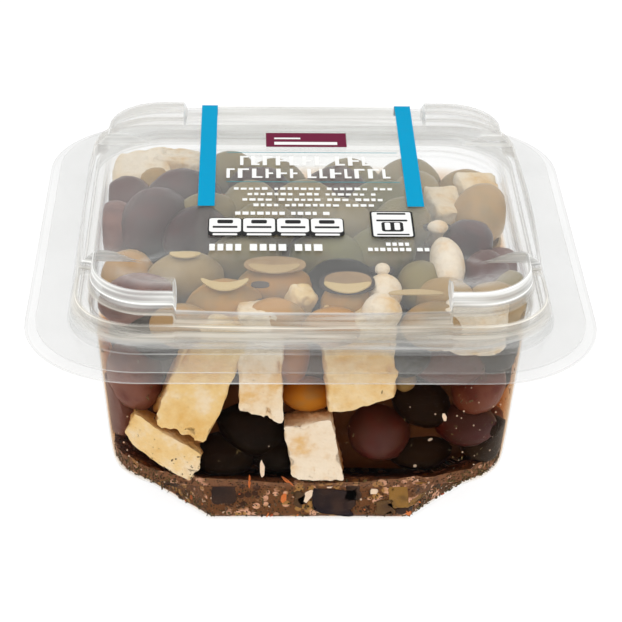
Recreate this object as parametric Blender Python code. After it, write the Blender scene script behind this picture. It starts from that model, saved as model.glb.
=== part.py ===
"""Greek salad in a square clear tub, with its press-on lid and a clear top label.

The front faces -Y. The origin is on the floor, under the middle of the pack.
Lengths below are in millimetres and become metres where vertices are made.
"""
import math
import random

import bmesh
import bpy

MM = 0.001
GAP = 0.3                   # air between pieces that rest against each other

# Tub: a formed sheet with an octagonal foot, a body with draft and a wide flange
TUB_WALL = 0.6
FLANGE_HALF = 69.0
FLANGE_CORNER = 28.0
FLANGE_TOP = 54.2
LIP_DROP = 0.8
FOOT_HALF = 49.1
FOOT_CUT = 23.4             # length that each 45 degree corner takes off a side
FOOT_HEIGHT = 10.6
BODY_HALF_LOW = 49.6
BODY_HALF_HIGH = 52.7
BODY_CORNER = 16.5
RIM_HEIGHT = 4.5            # stacking rim above the flange, under the lid
RIM_WIDTH = 2.2

# Lid: a dome whose middle panel carries four raised corner platforms
LID_WALL = 0.5
LID_EDGE_HALF = 66.3
DOME_HALF = 58.6
DOME_CORNER = 17.5
PANEL_HALF = 57.0
PANEL_RISE = 11.5           # panel above the flange
LUG_HALF = 52.8
LUG_CORNER = 14.4
LUG_RISE = 14.8             # corner platforms above the flange
LUG_END = 33.0              # distance from the middle of a side to a platform
LUG_STEP = 0.8              # run of the platform's end face

# Label: clear film on the panel, folded down over the back of the dome
LABEL_FILM = 0.16
LABEL_LEFT = -28.1
LABEL_RIGHT = 29.3
LABEL_FRONT = -32.5
LABEL_DROP = 8.0

# Contents
HERB_TOP = 9.7
LIQUID_TOP = 49.5
HEAP_HALF = 51.5
HEAP_CORNER = 16.0
HEAP_CELLS = 34
HEAP_LOW = 1.6              # least height of the heap over the marinade
HEAP_ROWS = 6               # rows of pieces from the front to the back
HEAP_FRONT_RISE = 15.5
HEAP_ROW_FALL = 2.3         # each row behind lies this much lower
FETA_SIZE = 15.0
OLIVE_LENGTH = 21.0
OLIVE_WIDTH = 15.0

ARC_STEPS = 6
SIDE_STATIONS = (-0.5, 0.0, 0.5)
LID_STATIONS = (-1.0, -0.5, 0.0, 0.5, 1.0)


def clear_scene():
    for item in list(bpy.data.objects):
        bpy.data.objects.remove(item, do_unlink=True)


def material(name, colour, roughness, alpha=1.0):
    made = bpy.data.materials.new(name)
    made.use_nodes = True
    shader = made.node_tree.nodes["Principled BSDF"]
    shader.inputs["Base Color"].default_value = (*colour, 1.0)
    shader.inputs["Roughness"].default_value = roughness
    shader.inputs["Metallic"].default_value = 0.0
    shader.inputs["Alpha"].default_value = alpha
    return made


def finish(name, bm, finish_material):
    """Turn a bmesh into a named object with smooth faces between its edges."""
    bmesh.ops.recalc_face_normals(bm, faces=bm.faces)
    mesh = bpy.data.meshes.new(name)
    bm.to_mesh(mesh)
    bm.free()
    mesh.materials.append(finish_material)
    mesh.shade_smooth()
    mesh.set_sharp_from_angle(angle=math.radians(35))
    piece = bpy.data.objects.new(name, mesh)
    bpy.context.scene.collection.objects.link(piece)
    return piece


# Outlines -------------------------------------------------------------------

def quarter_turns(points):
    """Repeat one side's points on all four sides, counter-clockwise."""
    outline = []
    for turn in range(4):
        for x, y in points:
            for _ in range(turn):
                x, y = -y, x
            outline.append((x, y))
    return outline


def rounded_square(half, corner, cut=False):
    """Outline with round corners, or with 45 degree cuts `corner` long."""
    straight = half - corner
    side = [(straight * station, -half) for station in SIDE_STATIONS]
    for step in range(ARC_STEPS + 1):
        share = step / ARC_STEPS
        if cut:
            side.append((straight + corner * share, -half + corner * share))
        else:
            angle = math.radians(-90 + 90 * share)
            side.append((straight + corner * math.cos(angle), -straight + corner * math.sin(angle)))
    return quarter_turns(side)


def lid_outline(middle, corner_half, corner, lug_end, diagonal=False):
    """Outline whose corners differ from the middles of its sides.

    The corner runs from one platform end to the other, either round or, on the
    inside of a platform, along a straight 45 degree line.
    """
    side = [((lug_end - LUG_STEP) * station, -middle) for station in LID_STATIONS]
    if diagonal:
        for step in range(ARC_STEPS + 3):
            run = (corner_half - lug_end) * step / (ARC_STEPS + 2)
            side.append((lug_end + run, -corner_half + run))
        return quarter_turns(side)
    straight = corner_half - corner
    side.append((lug_end, -corner_half))
    for step in range(ARC_STEPS + 1):
        angle = math.radians(-90 + 90 * step / ARC_STEPS)
        side.append((straight + corner * math.cos(angle), -straight + corner * math.sin(angle)))
    side.append((corner_half, -lug_end))
    return quarter_turns(side)


def offset_profile(profile, thickness):
    """The other face of a sheet whose first face runs through these points."""
    moved = []
    last = len(profile) - 1
    for index, (half, height) in enumerate(profile):
        normals = []
        for start, end in ((index - 1, index), (index, index + 1)):
            if start < 0 or end > last:
                continue
            run = profile[end][0] - profile[start][0]
            rise = profile[end][1] - profile[start][1]
            length = math.hypot(run, rise)
            normals.append((-rise / length, run / length))
        normal = [sum(pair) for pair in zip(*normals)]
        scale = 2.0 / (normal[0] ** 2 + normal[1] ** 2) if len(normals) == 2 else 1.0
        moved.append((half + normal[0] * scale * thickness, height + normal[1] * scale * thickness))
    return moved


# Solids from stacked outlines -----------------------------------------------

def add_ring(bm, outline, heights):
    if not hasattr(heights, "__len__"):
        heights = [heights] * len(outline)
    return [bm.verts.new((x * MM, y * MM, z * MM)) for (x, y), z in zip(outline, heights)]


def skin(bm, rings):
    """Join stacked rings of equal length with faces."""
    for lower, upper in zip(rings, rings[1:]):
        count = len(lower)
        for index in range(count):
            after = (index + 1) % count
            bm.faces.new((lower[index], lower[after], upper[after], upper[index]))


def stack(name, rings, finish_material):
    """A closed solid from (outline, height) rings, capped at both ends."""
    bm = bmesh.new()
    made = [add_ring(bm, outline, height) for outline, height in rings]
    skin(bm, made)
    bm.faces.new(reversed(made[0]))
    bm.faces.new(made[-1])
    return finish(name, bm, finish_material)


# Tub ------------------------------------------------------------------------

def tub_profile():
    """Outside of the tub sheet: (half width, height, corner, is it cut)."""
    rim_top = FLANGE_TOP + RIM_HEIGHT - TUB_WALL
    inner_leg = BODY_HALF_HIGH + 0.9
    outer_leg = inner_leg + RIM_WIDTH
    flange_under = FLANGE_TOP - TUB_WALL
    lip = FLANGE_HALF - TUB_WALL
    body_top = FLANGE_TOP - 2.2
    body_corner_top = BODY_CORNER + 0.2
    return [
        (FOOT_HALF - 1.5, 0.0, FOOT_CUT - 0.4, True),
        (FOOT_HALF - 0.5, 0.6, FOOT_CUT, True),
        (FOOT_HALF, FOOT_HEIGHT, FOOT_CUT, True),
        (FOOT_HALF + 0.2, FOOT_HEIGHT + 0.5, BODY_CORNER - 0.6, False),
        (BODY_HALF_LOW, FOOT_HEIGHT + 1.6, BODY_CORNER, False),
        (BODY_HALF_LOW + 0.4, FOOT_HEIGHT + 4.4, BODY_CORNER + 0.1, False),
        (BODY_HALF_HIGH, body_top, body_corner_top, False),
        (inner_leg, FLANGE_TOP - 0.8, body_corner_top + 0.6, False),
        (inner_leg + 0.1, rim_top - 0.7, body_corner_top + 0.7, False),
        (inner_leg + 0.7, rim_top, body_corner_top + 1.3, False),
        (outer_leg - 0.7, rim_top, body_corner_top + 1.9, False),
        (outer_leg, rim_top - 0.7, body_corner_top + 2.6, False),
        (outer_leg + 0.3, flange_under, body_corner_top + 2.9, False),
        (lip - 0.3, flange_under, FLANGE_CORNER - 0.9, False),
        (lip, flange_under - 0.1, FLANGE_CORNER - 0.6, False),
        (lip, FLANGE_TOP - LIP_DROP, FLANGE_CORNER - 0.6, False),
    ]


def sheet_face(profile, faced):
    """Outlines of one face of the tub sheet, with corners that follow it."""
    outlines = []
    for (half, _, corner, cut), (new_half, height) in zip(profile, faced):
        grow = (new_half - half) * (2 - math.sqrt(2) if cut else 1.0)
        outlines.append((rounded_square(new_half, corner + grow, cut), height))
    return outlines


def build_tub():
    profile = tub_profile()
    outside = [(half, height) for half, height, _, _ in profile]
    inside = offset_profile(outside, TUB_WALL)
    rings = sheet_face(profile, outside) + sheet_face(profile, inside)[::-1]
    return stack("tub", rings, material("clear_tub", (0.93, 0.95, 0.95), 0.08, 0.25))


def cavity_rings(low, high, inset):
    """The tub's inside between two heights, drawn in by an inset."""
    profile = [row for row in tub_profile() if row[1] <= FLANGE_TOP and row[0] < FLANGE_HALF - 13]
    profile = profile[:8]
    faced = offset_profile([row[:2] for row in profile], TUB_WALL + inset)
    # The ledge over the foot is nearly level, so its rows also need room upwards
    rows = [(half, height + (0.8 * inset if height > FOOT_HEIGHT else 0.0),
             corner + half - row[0], cut)
            for (half, height), row in zip(faced, profile) for corner, cut in [row[2:]]]

    def at(height):
        for below, above in zip(rows, rows[1:]):
            if below[1] <= height <= above[1]:
                share = (height - below[1]) / (above[1] - below[1])
                half = below[0] + (above[0] - below[0]) * share
                corner = below[2] + (above[2] - below[2]) * share
                return rounded_square(half, corner, below[3] and above[3]), height
        raise ValueError("height outside the tub's inside")

    between = [(rounded_square(half, corner, cut), height)
               for half, height, corner, cut in rows if low + 0.2 < height < high - 0.2]
    return [at(low)] + between + [at(high)]


# Lid ------------------------------------------------------------------------

def lid_profiles():
    """Top face of the lid at the middle of a side, and at its corners."""
    sheet = FLANGE_TOP + GAP + LID_WALL
    panel = FLANGE_TOP + PANEL_RISE
    lug = FLANGE_TOP + LUG_RISE
    middle = [
        (LID_EDGE_HALF, sheet),
        (DOME_HALF, sheet),
        (DOME_HALF - 0.6, sheet + 2.6),
        (DOME_HALF - 1.1, sheet + 5.6),
        (DOME_HALF - 1.3, sheet + 7.2),
        (PANEL_HALF + 0.1, sheet + 8.2),
        (PANEL_HALF - 0.1, panel - 1.2),
        (PANEL_HALF - 0.5, panel - 0.4),
        (PANEL_HALF - 1.4, panel),
        (LUG_HALF - 4.0, panel),
    ]
    corner = [
        (LID_EDGE_HALF, sheet, FLANGE_CORNER - 2.6),
        (DOME_HALF, sheet, DOME_CORNER),
        (DOME_HALF - 0.6, sheet + 2.6, DOME_CORNER - 0.4),
        (DOME_HALF - 1.4, sheet + 5.8, DOME_CORNER - 0.9),
        (DOME_HALF - 2.2, sheet + 7.2, DOME_CORNER - 1.6),
        (LUG_HALF + 0.8, sheet + 7.8, LUG_CORNER + 0.5),
        (LUG_HALF, lug - 1.6, LUG_CORNER),
        (LUG_HALF - 0.3, lug - 0.5, LUG_CORNER - 0.3),
        (LUG_HALF - 1.2, lug, LUG_CORNER - 1.2),
    ]
    return middle, corner


def lid_face(middle, corner, lug_end, drop):
    """Rings of one face of the lid, from its edge to its middle."""
    per_side = len(LID_STATIONS) + ARC_STEPS + 3
    rings = []
    for (mid_half, mid_z), (half, height, radius) in zip(middle, corner):
        outline = lid_outline(mid_half, half, radius, lug_end)
        heights = ([mid_z] * len(LID_STATIONS) + [height] * (per_side - len(LID_STATIONS))) * 4
        rings.append((outline, heights))
    panel = FLANGE_TOP + PANEL_RISE - drop
    lug = FLANGE_TOP + LUG_RISE - drop
    lug_inside = LUG_HALF - 2.0
    for half, height in ((lug_inside, lug), (lug_inside - 1.2, panel)):
        outline = lid_outline(middle[-1][0] + half - lug_inside, half, 0.0,
                              min(lug_end, half - 17.4), diagonal=True)
        heights = ([panel] * len(LID_STATIONS) + [height] * (per_side - len(LID_STATIONS))) * 4
        rings.append((outline, heights))
    shrunk = [(x * 0.5, y * 0.5) for x, y in rings[-1][0]]
    rings.append((shrunk, [panel] * len(shrunk)))
    return rings


def build_lid():
    middle, corner = lid_profiles()
    under_middle = offset_profile(middle, LID_WALL)
    under_corner = offset_profile([row[:2] for row in corner], LID_WALL)
    under_corner = [(half, height, row[2] + half - row[0])
                    for (half, height), row in zip(under_corner, corner)]
    top = lid_face(middle[:-1], corner, LUG_END, 0.0)
    under = lid_face(under_middle[:-1], under_corner, LUG_END + 0.45, LID_WALL)
    return stack("lid", top[::-1] + under, material("clear_lid", (0.95, 0.96, 0.96), 0.08, 0.25))


# Label ----------------------------------------------------------------------

def build_label():
    middle = lid_profiles()[0]
    lowest = FLANGE_TOP + PANEL_RISE - LABEL_DROP
    back = [(half, height) for half, height in middle[1:-1] if height > lowest][::-1]
    back = offset_profile([(LUG_HALF - 8, FLANGE_TOP + PANEL_RISE)] + back, GAP)[1:]
    back = [point for point in back if point[1] > lowest]
    path = [(LABEL_FRONT, back[0][1])] + back
    over = offset_profile(path, LABEL_FILM)
    bm = bmesh.new()
    strip = []
    for x in (LABEL_LEFT, LABEL_RIGHT):
        strip.append([bm.verts.new((x * MM, y * MM, z * MM)) for y, z in path + over[::-1]])
    skin(bm, strip)
    bm.faces.new(strip[0])
    bm.faces.new(reversed(strip[1]))
    return finish("label", bm, material("label_film", (0.1, 0.45, 0.6), 0.3))


# Contents -------------------------------------------------------------------

def feta_top(x, y, piece):
    """Height of a tilted cube's top over a point, or None beside it."""
    across, along = turned(x, y, piece)
    reach = max(abs(across), abs(along)) / (FETA_SIZE / 2)
    if reach > 1.0:
        return None
    return piece["top"] + across * piece["slope"] - 1.2 * max(0.0, reach - 0.8) / 0.2


def olive_top(x, y, piece):
    """Height of an olive's back over a point, or None beside it."""
    across, along = turned(x, y, piece)
    reach = (2 * across / OLIVE_LENGTH) ** 2 + (2 * along / OLIVE_WIDTH) ** 2
    if reach > 1.0:
        return None
    return piece["top"] - OLIVE_WIDTH / 2 * (1 - math.sqrt(1 - reach))


def turned(x, y, piece):
    across = x - piece["x"]
    along = y - piece["y"]
    cos, sin = math.cos(piece["turn"]), math.sin(piece["turn"])
    return across * cos + along * sin, along * cos - across * sin


def heap_pieces():
    """Feta cubes and olives in loose rows, higher towards the front."""
    chance = random.Random(11)
    pieces = []
    spacing = 2 * HEAP_HALF / HEAP_ROWS
    for row in range(HEAP_ROWS):
        for column in range(HEAP_ROWS):
            x = -HEAP_HALF + (column + 0.5 + chance.uniform(-0.25, 0.25)) * spacing
            y = -HEAP_HALF + (row + 0.5 + chance.uniform(-0.25, 0.25)) * spacing
            rise = HEAP_FRONT_RISE - HEAP_ROW_FALL * row + chance.uniform(-2.2, 0.8)
            pieces.append({
                "x": x, "y": y, "turn": chance.uniform(0, math.pi),
                "slope": chance.uniform(-0.25, 0.25),
                "top": LIQUID_TOP + GAP + max(HEAP_LOW + 1.5, rise),
                "shape": feta_top if chance.random() < 0.4 else olive_top,
            })
    return pieces


def squared_to_rounded(x, y):
    """Pull a point of the square grid into the heap's rounded corners."""
    straight = HEAP_HALF - HEAP_CORNER
    over_x, over_y = abs(x) - straight, abs(y) - straight
    if over_x <= 0 or over_y <= 0:
        return x, y
    pull = max(over_x, over_y) / math.hypot(over_x, over_y)
    return (math.copysign(straight + over_x * pull, x),
            math.copysign(straight + over_y * pull, y))


def build_heap():
    pieces = heap_pieces()
    low = LIQUID_TOP + GAP
    ceiling = FLANGE_TOP + PANEL_RISE - LID_WALL - GAP
    cell = 2 * HEAP_HALF / HEAP_CELLS
    bm = bmesh.new()
    grid = []
    for row in range(HEAP_CELLS + 1):
        line = []
        for column in range(HEAP_CELLS + 1):
            x, y = squared_to_rounded(column * cell - HEAP_HALF, row * cell - HEAP_HALF)
            tops = [piece["shape"](x, y, piece) for piece in pieces]
            height = max([low + HEAP_LOW] + [top for top in tops if top is not None])
            line.append(bm.verts.new((x * MM, y * MM, min(height, ceiling) * MM)))
        grid.append(line)
    for row in range(HEAP_CELLS):
        for column in range(HEAP_CELLS):
            bm.faces.new((grid[row][column], grid[row][column + 1],
                          grid[row + 1][column + 1], grid[row + 1][column]))
    border = (grid[0][:-1] + [line[-1] for line in grid[:-1]]
              + grid[-1][:0:-1] + [line[0] for line in grid[:0:-1]])
    base = [bm.verts.new((vert.co.x, vert.co.y, low * MM)) for vert in border]
    skin(bm, [base, border])
    bm.faces.new(reversed(base))
    return finish("salad_heap", bm, material("olives_and_feta", (0.45, 0.36, 0.22), 0.5))


def build_contents():
    herb_bottom = TUB_WALL + GAP
    stack("herb_layer", cavity_rings(herb_bottom, HERB_TOP, GAP),
          material("herbs_and_spice", (0.36, 0.24, 0.16), 0.6))
    stack("marinade", cavity_rings(HERB_TOP + GAP, LIQUID_TOP, GAP),
          material("marinade_oil", (0.42, 0.24, 0.1), 0.1))
    build_heap()


def main():
    clear_scene()
    build_tub()
    build_lid()
    build_label()
    build_contents()


main()
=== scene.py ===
"""Looks of a Greek salad in a square clear tub with a press-on lid and a clear label.

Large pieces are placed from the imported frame's boxes. Food is described in
millimetres, and MM turns those into metres.
"""
import math
import random

import bmesh
import bpy
from mathutils import Euler, Matrix, Vector, noise


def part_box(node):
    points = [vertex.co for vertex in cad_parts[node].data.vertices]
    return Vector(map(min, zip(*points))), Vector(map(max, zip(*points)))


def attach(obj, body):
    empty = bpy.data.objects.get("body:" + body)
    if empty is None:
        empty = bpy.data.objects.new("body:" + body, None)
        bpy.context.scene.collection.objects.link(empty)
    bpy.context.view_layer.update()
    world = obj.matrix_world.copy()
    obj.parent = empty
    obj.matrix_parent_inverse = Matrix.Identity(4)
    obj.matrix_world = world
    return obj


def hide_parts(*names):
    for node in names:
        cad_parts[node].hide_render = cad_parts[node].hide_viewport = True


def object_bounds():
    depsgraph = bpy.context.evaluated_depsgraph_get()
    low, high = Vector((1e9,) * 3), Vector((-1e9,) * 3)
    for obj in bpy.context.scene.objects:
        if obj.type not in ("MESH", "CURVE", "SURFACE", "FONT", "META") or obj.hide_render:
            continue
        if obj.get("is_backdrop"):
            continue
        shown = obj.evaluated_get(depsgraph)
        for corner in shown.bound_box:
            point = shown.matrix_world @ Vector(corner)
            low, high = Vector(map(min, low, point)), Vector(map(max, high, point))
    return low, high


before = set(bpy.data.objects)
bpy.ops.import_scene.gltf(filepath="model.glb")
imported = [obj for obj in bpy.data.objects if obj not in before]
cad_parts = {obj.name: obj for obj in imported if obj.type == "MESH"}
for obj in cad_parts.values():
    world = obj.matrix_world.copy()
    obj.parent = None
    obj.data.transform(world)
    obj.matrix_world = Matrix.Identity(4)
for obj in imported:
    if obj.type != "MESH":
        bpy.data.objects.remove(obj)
CAD_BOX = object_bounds()
MM = 0.001

TUB_LOW, TUB_HIGH = (Vector(corner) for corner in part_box("tub"))
LID_LOW, LID_HIGH = (Vector(corner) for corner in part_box("lid"))
LABEL_LOW, LABEL_HIGH = (Vector(corner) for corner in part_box("label"))
OIL_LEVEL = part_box("marinade")[1][2]

# Tub sheet
TUB_WALL = 0.6 * MM
FLANGE_HALF = TUB_HIGH.x
FLANGE_CORNER = 28 * MM
FLANGE_TOP = LID_LOW.z - 0.3 * MM
FOOT_HALF = 49.1 * MM
FOOT_CUT = 23.4 * MM
FOOT_HEIGHT = 10.6 * MM
BODY_LOW_HALF = 49.6 * MM
BODY_HIGH_HALF = 52.7 * MM
BODY_CORNER = 16.5 * MM
RIM_TOP = TUB_HIGH.z
RIM_WIDTH = 2.2 * MM
LIP_DROP = 0.8 * MM

# Lid sheet
LID_WALL = 0.5 * MM
LID_EDGE_HALF = LID_HIGH.x
DOME_HALF = 58.6 * MM
DOME_CORNER = 17.5 * MM
PANEL_HALF = 57 * MM
PANEL_TOP = FLANGE_TOP + 11.5 * MM
PANEL_BOW = 1.1 * MM
LUG_HALF = 52.8 * MM
LUG_CORNER = 14.4 * MM
LUG_TOP = LID_HIGH.z
LUG_END = 33 * MM
LUG_STEP = 1.0 * MM
LID_UNDER = PANEL_TOP - LID_WALL

# Label
BAND_WIDTH = 4.3 * MM
BAND_FRONT = -4.4 * MM
PRINT_LIFT = 0.03 * MM


# Shader maths ---------------------------------------------------------------

class Value:
    """A shader output that takes Python's operators."""

    def __init__(self, finish, socket):
        self.finish = finish
        self.socket = socket

    def maths(self, operation, *others):
        return self.finish.node("ShaderNodeMath", {"operation": operation}, self, *others)

    def __add__(self, other):
        return self.maths("ADD", other)

    __radd__ = __add__

    def __sub__(self, other):
        return self.maths("SUBTRACT", other)

    def __rsub__(self, other):
        return self.finish.node("ShaderNodeMath", {"operation": "SUBTRACT"}, other, self)

    def __mul__(self, other):
        return self.maths("MULTIPLY", other)

    __rmul__ = __mul__

    def __truediv__(self, other):
        return self.maths("DIVIDE", other)

    def __pow__(self, other):
        return self.maths("POWER", other)

    def above(self, edge, width):
        """0 below the edge and 1 above it, with a soft step of this width."""
        return self.finish.node("ShaderNodeMapRange", {"interpolation_type": "SMOOTHSTEP"},
                                self, edge - width / 2, edge + width / 2, 0.0, 1.0)

    def held(self):
        return self.finish.node("ShaderNodeClamp", {}, self, 0.0, 1.0)


class Finish:
    """A node material, made with one method for nodes and a few for patterns."""

    def __init__(self, name):
        self.material = bpy.data.materials.new(name)
        self.material.use_nodes = True
        self.tree = self.material.node_tree
        self.tree.nodes.clear()
        self.place = self.node("ShaderNodeTexCoord", {}, output="Object")

    def node(self, kind, settings, *values, output=0, **named):
        made = self.tree.nodes.new(kind)
        for key, setting in settings.items():
            if key == "stops":
                self.set_stops(made.color_ramp, setting)
            else:
                setattr(made, key, setting)
        pairs = list(enumerate(values)) + [(key.replace("_", " "), v) for key, v in named.items()]
        for key, value in pairs:
            if isinstance(value, Value):
                self.tree.links.new(value.socket, made.inputs[key])
            elif value is not None:
                made.inputs[key].default_value = value
        return Value(self, made.outputs[output])

    def set_stops(self, ramp, stops):
        while len(ramp.elements) < len(stops):
            ramp.elements.new(0.5)
        for element, (position, colour) in zip(ramp.elements, stops):
            element.position = position
            element.color = (*colour, 1.0)

    def noise(self, scale, detail=3.0, roughness=0.5, place=None):
        return self.node("ShaderNodeTexNoise", {}, Vector=place or self.place, Scale=scale,
                         Detail=detail, Roughness=roughness)

    def cells(self, scale):
        return self.node("ShaderNodeTexVoronoi", {}, Vector=self.place, Scale=scale)

    def ramp(self, value, *stops):
        return self.node("ShaderNodeValToRGB", {"stops": stops}, value)

    def blend(self, share, first, second):
        """Mix two colours, given as (r, g, b) or as sockets."""
        made = self.tree.nodes.new("ShaderNodeMix")
        made.data_type = "RGBA"
        for key, value in (("Factor_Float", share), ("A_Color", first), ("B_Color", second)):
            socket = next(item for item in made.inputs if item.identifier == key)
            if isinstance(value, Value):
                self.tree.links.new(value.socket, socket)
            else:
                socket.default_value = (*value, 1.0) if isinstance(value, tuple) else value
        out = next(item for item in made.outputs if item.identifier == "Result_Color")
        return Value(self, out)

    def facing(self):
        """0 where the surface faces the viewer and 1 where it is edge-on."""
        return self.node("ShaderNodeLayerWeight", {}, Blend=0.5, output="Facing")

    def mirror(self, share):
        """How much a clear sheet reflects: little head-on and all of it edge-on."""
        return ((self.facing() ** 5 * 0.96 + 0.04) * share).held()

    def height(self):
        return self.node("ShaderNodeSeparateXYZ", {}, self.place, output=2)

    def attribute(self, name):
        return self.node("ShaderNodeAttribute", {"attribute_name": name}, output="Fac")

    def bump(self, height, strength, distance):
        return self.node("ShaderNodeBump", {}, Strength=strength, Distance=distance, Height=height)

    def principled(self, colour, roughness, normal=None, **named):
        if isinstance(colour, tuple):
            colour = (*colour, 1.0)
        return self.node("ShaderNodeBsdfPrincipled", {}, Base_Color=colour, Roughness=roughness,
                         Normal=normal, **named)

    def mix(self, share, first, second):
        return self.node("ShaderNodeMixShader", {}, share, first, second)

    def end(self, surface, volume=None):
        out = self.tree.nodes.new("ShaderNodeOutputMaterial")
        self.tree.links.new(surface.socket, out.inputs["Surface"])
        if volume is not None:
            self.tree.links.new(volume.socket, out.inputs["Volume"])
        return self.material


# Meshes ---------------------------------------------------------------------

def show(name, bm, finish, smooth=40):
    """Turn a bmesh into a piece that rides on the pack."""
    mesh = bpy.data.meshes.new(name)
    bm.to_mesh(mesh)
    bm.free()
    mesh.materials.append(finish)
    mesh.shade_smooth()
    mesh.set_sharp_from_angle(angle=math.radians(smooth))
    piece = bpy.data.objects.new(name, mesh)
    bpy.context.scene.collection.objects.link(piece)
    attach(piece, "root")
    return piece


def mixed(first, second, share):
    return tuple(a + (b - a) * share for a, b in zip(first, second))


def softened(rows, radius, steps=4):
    """Round the bends of a profile whose rows start with (half, height)."""
    rounded = [rows[0]]
    for before, row, after in zip(rows, rows[1:], rows[2:]):
        ends = []
        for other in (before, after):
            run = math.hypot(other[0] - row[0], other[1] - row[1])
            ends.append(mixed(row, other, min(radius, 0.48 * run) / run))
        for step in range(steps + 1):
            share = step / steps
            rounded.append(mixed(mixed(ends[0], row, share), mixed(row, ends[1], share), share))
    rounded.append(rows[-1])
    return rounded


def thickened(rows, thickness):
    """The other face of a sheet, with corner radii that follow it."""
    moved = []
    for index, row in enumerate(rows):
        normals = []
        for start, end in ((index - 1, index), (index, index + 1)):
            if start < 0 or end >= len(rows):
                continue
            run = Vector((rows[end][0] - rows[start][0], rows[end][1] - rows[start][1]))
            normals.append(Vector((-run.y, run.x)).normalized())
        normal = sum(normals, Vector((0, 0)))
        normal *= 2 * thickness / normal.length_squared if len(normals) == 2 else thickness
        grow = normal.x * (1.0 - 0.414 * (row[3] if len(row) > 3 else 0.0))
        moved.append((row[0] + normal.x, row[1] + normal.y, row[2] + grow, *row[3:]))
    return moved


def quarter_turns(side):
    return [Matrix.Rotation(math.pi / 2 * turn, 3, "Z") @ Vector(point)
            for turn in range(4) for point in side]


ARC_STEPS = 14


def square_outline(half, height, corner, cut=0.0):
    """Square with round corners; cut turns them towards 45 degree corners."""
    straight = half - corner
    side = [(straight * share, -half, height) for share in (-0.8, -0.4, 0.0, 0.4, 0.8)]
    for step in range(ARC_STEPS + 1):
        share = step / ARC_STEPS
        angle = math.radians(-90 + 90 * share)
        arc = (straight + corner * math.cos(angle), -straight + corner * math.sin(angle))
        line = (straight + corner * share, -half + corner * share)
        side.append((*mixed(arc, line, cut), height))
    return quarter_turns(side)


def loft(outlines):
    """Draw a closed outline through its further positions and cap both ends."""
    bm = bmesh.new()
    station = bm.verts.layers.int.new("station")
    ring = []
    for index, point in enumerate(outlines[0]):
        vert = bm.verts.new(point)
        vert[station] = index
        ring.append(vert)
    edges = [bm.edges.new((a, b)) for a, b in zip(ring, ring[1:] + ring[:1])]
    bm.faces.new(reversed(ring))
    for outline in outlines[1:]:
        grown = bmesh.ops.extrude_edge_only(bm, edges=edges)["geom"]
        edges = [item for item in grown if isinstance(item, bmesh.types.BMEdge)
                 and len(item.link_faces) == 1]
        for vert in (item for item in grown if isinstance(item, bmesh.types.BMVert)):
            vert.co = outline[vert[station]]
    bmesh.ops.edgeloop_fill(bm, edges=edges)
    bmesh.ops.recalc_face_normals(bm, faces=bm.faces)
    return bm


# Tub ------------------------------------------------------------------------

def tub_rows():
    """Outside of the tub sheet: (half width, height, corner, how far cut)."""
    rim_top = RIM_TOP - TUB_WALL
    inner_leg = BODY_HIGH_HALF + 0.9 * MM
    outer_leg = inner_leg + RIM_WIDTH
    flange_under = FLANGE_TOP - TUB_WALL
    lip = FLANGE_HALF - TUB_WALL
    top_corner = BODY_CORNER + 0.2 * MM
    return [
        (FOOT_HALF - 1.5 * MM, TUB_LOW.z, FOOT_CUT - 0.4 * MM, 1.0),
        (FOOT_HALF - 0.5 * MM, TUB_LOW.z + 0.6 * MM, FOOT_CUT, 1.0),
        (FOOT_HALF, FOOT_HEIGHT, FOOT_CUT, 1.0),
        (FOOT_HALF + 0.2 * MM, FOOT_HEIGHT + 0.5 * MM, BODY_CORNER - 0.6 * MM, 0.0),
        (BODY_LOW_HALF, FOOT_HEIGHT + 1.6 * MM, BODY_CORNER, 0.0),
        (BODY_LOW_HALF + 0.4 * MM, FOOT_HEIGHT + 4.4 * MM, BODY_CORNER + 0.1 * MM, 0.0),
        (BODY_HIGH_HALF, FLANGE_TOP - 2.2 * MM, top_corner, 0.0),
        (inner_leg, FLANGE_TOP - 0.8 * MM, top_corner + 0.6 * MM, 0.0),
        (inner_leg + 0.1 * MM, rim_top - 0.7 * MM, top_corner + 0.7 * MM, 0.0),
        (inner_leg + 0.7 * MM, rim_top, top_corner + 1.3 * MM, 0.0),
        (outer_leg - 0.7 * MM, rim_top, top_corner + 1.9 * MM, 0.0),
        (outer_leg, rim_top - 0.7 * MM, top_corner + 2.6 * MM, 0.0),
        (outer_leg + 0.3 * MM, flange_under, top_corner + 2.9 * MM, 0.0),
        (lip - 0.3 * MM, flange_under, FLANGE_CORNER - 0.9 * MM, 0.0),
        (lip, flange_under - 0.1 * MM, FLANGE_CORNER - 0.6 * MM, 0.0),
        (lip, FLANGE_TOP - LIP_DROP, FLANGE_CORNER - 0.6 * MM, 0.0),
    ]


def build_tub(finish):
    rows = tub_rows()
    outside = softened(rows, 0.8 * MM)
    inside = softened(thickened(rows, TUB_WALL), 0.5 * MM)
    outlines = [square_outline(*row) for row in outside + inside[::-1]]
    tub = show("clear_tub", loft(outlines), finish, smooth=50)
    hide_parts("tub")


# Lid ------------------------------------------------------------------------

MIDDLE_SHARES = (-1.0, -0.75, -0.5, -0.25, 0.0, 0.25, 0.5, 0.75, 1.0)
STEP_SHARES = (0.15, 0.35, 0.65, 0.85)
LINE_SHARES = (0.0, 0.35, 0.7)


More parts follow.
